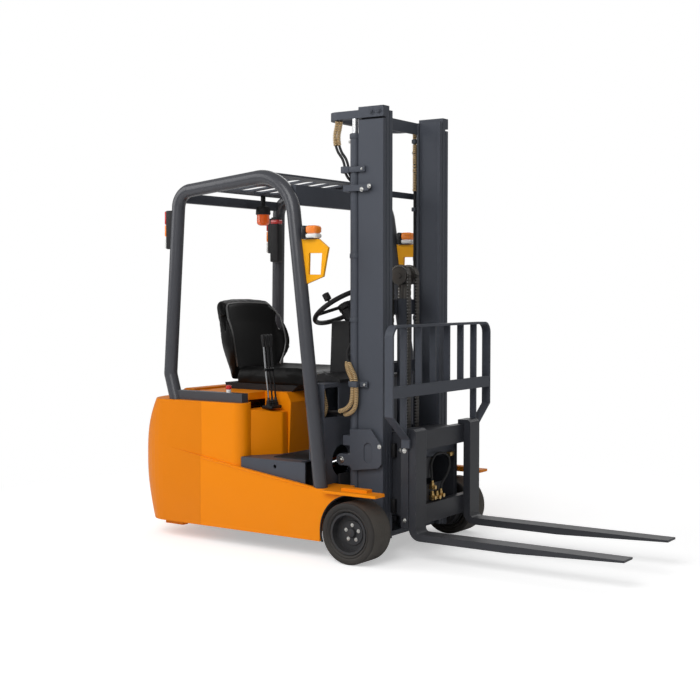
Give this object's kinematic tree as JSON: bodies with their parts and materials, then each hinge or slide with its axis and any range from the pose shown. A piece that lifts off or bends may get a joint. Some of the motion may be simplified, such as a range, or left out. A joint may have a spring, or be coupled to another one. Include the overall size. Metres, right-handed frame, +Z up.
{
  "type": "counterbalance forklift",
  "caption": "Compact three-wheel electric counterbalance forklift with a three-stage tilting mast, fork carriage with load backrest, overhead guard and rear counterweight.",
  "frame": {"origin": "on the floor under the middle of the overall length and width", "axes": "+X towards the fork tips, +Y to the driver's left, +Z up"},
  "size_m": [2.789, 1.12, 2.234],
  "materials": {
    "orange_paint": "satin orange paint",
    "charcoal_paint": "satin blue-grey paint",
    "black_paint": "satin black paint",
    "black_plastic": "grained black plastic",
    "seat_vinyl": "soft black vinyl",
    "tyre": "black cushion rubber",
    "chrome": "hard chrome",
    "steel": "oiled steel",
    "amber_lens": "moulded amber lens",
    "red_lens": "moulded red lens"
  },
  "bodies": {
    "chassis": {"chassis_frame": "charcoal_paint", "floor_plate": "charcoal_paint", "cowl": "charcoal_paint", "side_panel_right": "orange_paint", "side_panel_left": "orange_paint", "counterweight": "orange_paint", "battery": "black_paint", "drive_units": "charcoal_paint", "steering_column": "black_plastic", "pedals": "black_plastic", "lever_set": "black_plastic", "guard_right": "charcoal_paint", "guard_left": "charcoal_paint", "guard_roof": "charcoal_paint", "lamp_brackets": "orange_paint", "front_lamps": "amber_lens", "tail_lamps": "red_lens", "beacon": "amber_lens"},
    "hood": {"hood": "orange_paint", "seat_base": "black_plastic", "seat_cushion": "seat_vinyl", "seat_back": "seat_vinyl"},
    "wheel_right": {"tyre_right": "tyre", "rim_right": "charcoal_paint"},
    "wheel_left": {"tyre_left": "tyre", "rim_left": "charcoal_paint"},
    "steer_unit": {"steer_yoke": "charcoal_paint"},
    "rear_wheels": {"rear_tyres": "tyre", "rear_rims": "charcoal_paint"},
    "steering_wheel": {"steering_wheel": "black_plastic"},
    "mast_outer": {"outer_mast": "charcoal_paint", "lift_barrels": "charcoal_paint"},
    "mast_middle": {"middle_mast": "charcoal_paint", "lift_rods": "chrome"},
    "mast_inner": {"inner_mast": "charcoal_paint", "free_barrel": "charcoal_paint"},
    "free_lift": {"free_head": "steel", "lift_chains": "steel"},
    "carriage": {"carriage": "charcoal_paint", "backrest": "charcoal_paint", "fork_right": "black_paint", "fork_left": "black_paint"},
    "tilt_barrel_right": {"tilt_barrel_right": "charcoal_paint"},
    "tilt_barrel_left": {"tilt_barrel_left": "charcoal_paint"},
    "tilt_rod_right": {"tilt_rod_right": "chrome"},
    "tilt_rod_left": {"tilt_rod_left": "chrome"}
  },
  "joints": [
    {"name": "mast_tilt", "type": "hinge", "parent": "chassis", "child": "mast_outer", "pos_m": [0.0575, 0, 0.13], "axis": [0, 1, 0], "range_deg": [-5, 3]},
    {"name": "mast_lift", "type": "slide", "parent": "mast_outer", "child": "mast_middle", "axis": [0, 0, 1], "range_m": [0, 1.55]},
    {"name": "inner_lift", "type": "slide", "parent": "mast_middle", "child": "mast_inner", "axis": [0, 0, 1], "range_m": [0, 1.55]},
    {"name": "carriage_lift", "type": "slide", "parent": "mast_inner", "child": "carriage", "axis": [0, 0, 1], "range_m": [-0.1, 1.45], "deforming": ["lift_chains"]},
    {"name": "free_lift", "type": "slide", "parent": "mast_inner", "child": "free_lift", "axis": [0, 0, 1], "range_m": [-0.05, 0.725]},
    {"name": "hood_hinge", "type": "hinge", "parent": "chassis", "child": "hood", "pos_m": [-1.0095, 0, 0.765], "axis": [0, -1, 0], "range_deg": [0, 50]},
    {"name": "wheel_right_spin", "type": "hinge", "parent": "chassis", "child": "wheel_right", "pos_m": [0.0825, -0.4775, 0.152], "axis": [0, 1, 0], "continuous": true},
    {"name": "wheel_left_spin", "type": "hinge", "parent": "chassis", "child": "wheel_left", "pos_m": [0.0825, 0.4775, 0.152], "axis": [0, 1, 0], "continuous": true},
    {"name": "steer", "type": "hinge", "parent": "chassis", "child": "steer_unit", "pos_m": [-1.1075, 0, 0.125], "axis": [0, 0, 1], "range_deg": [-85, 85]},
    {"name": "rear_spin", "type": "hinge", "parent": "steer_unit", "child": "rear_wheels", "pos_m": [-1.1075, 0, 0.125], "axis": [0, 1, 0], "continuous": true},
    {"name": "steering_wheel_spin", "type": "hinge", "parent": "chassis", "child": "steering_wheel", "pos_m": [-0.3175, 0, 1.245], "axis": [-0.5299, 0, 0.848], "continuous": true},
    {"name": "tilt_barrel_right_swing", "type": "hinge", "parent": "chassis", "child": "tilt_barrel_right", "pos_m": [-0.5175, -0.285, 0.33], "axis": [0, 1, 0], "range_deg": [-1, 1]},
    {"name": "tilt_rod_right_slide", "type": "slide", "parent": "tilt_barrel_right", "child": "tilt_rod_right", "axis": [0.9421, 0, 0.3354], "range_m": [-0.04, 0.03]},
    {"name": "tilt_barrel_left_swing", "type": "hinge", "parent": "chassis", "child": "tilt_barrel_left", "pos_m": [-0.5175, 0.285, 0.33], "axis": [0, 1, 0], "range_deg": [-1, 1]},
    {"name": "tilt_rod_left_slide", "type": "slide", "parent": "tilt_barrel_left", "child": "tilt_rod_left", "axis": [0.9421, 0, 0.3354], "range_m": [-0.04, 0.03]}
  ],
  "couplings": [
    {"joint": "inner_lift", "follows": "mast_lift", "ratio": 1},
    {"joint": "free_lift", "follows": "carriage_lift", "ratio": 0.5},
    {"joint": "tilt_barrel_right_swing", "follows": "mast_tilt", "ratio": -0.0827},
    {"joint": "tilt_rod_right_slide", "follows": "mast_tilt", "m_per_rad": 0.3812},
    {"joint": "tilt_barrel_left_swing", "follows": "mast_tilt", "ratio": -0.0827},
    {"joint": "tilt_rod_left_slide", "follows": "mast_tilt", "m_per_rad": 0.3812}
  ]
}
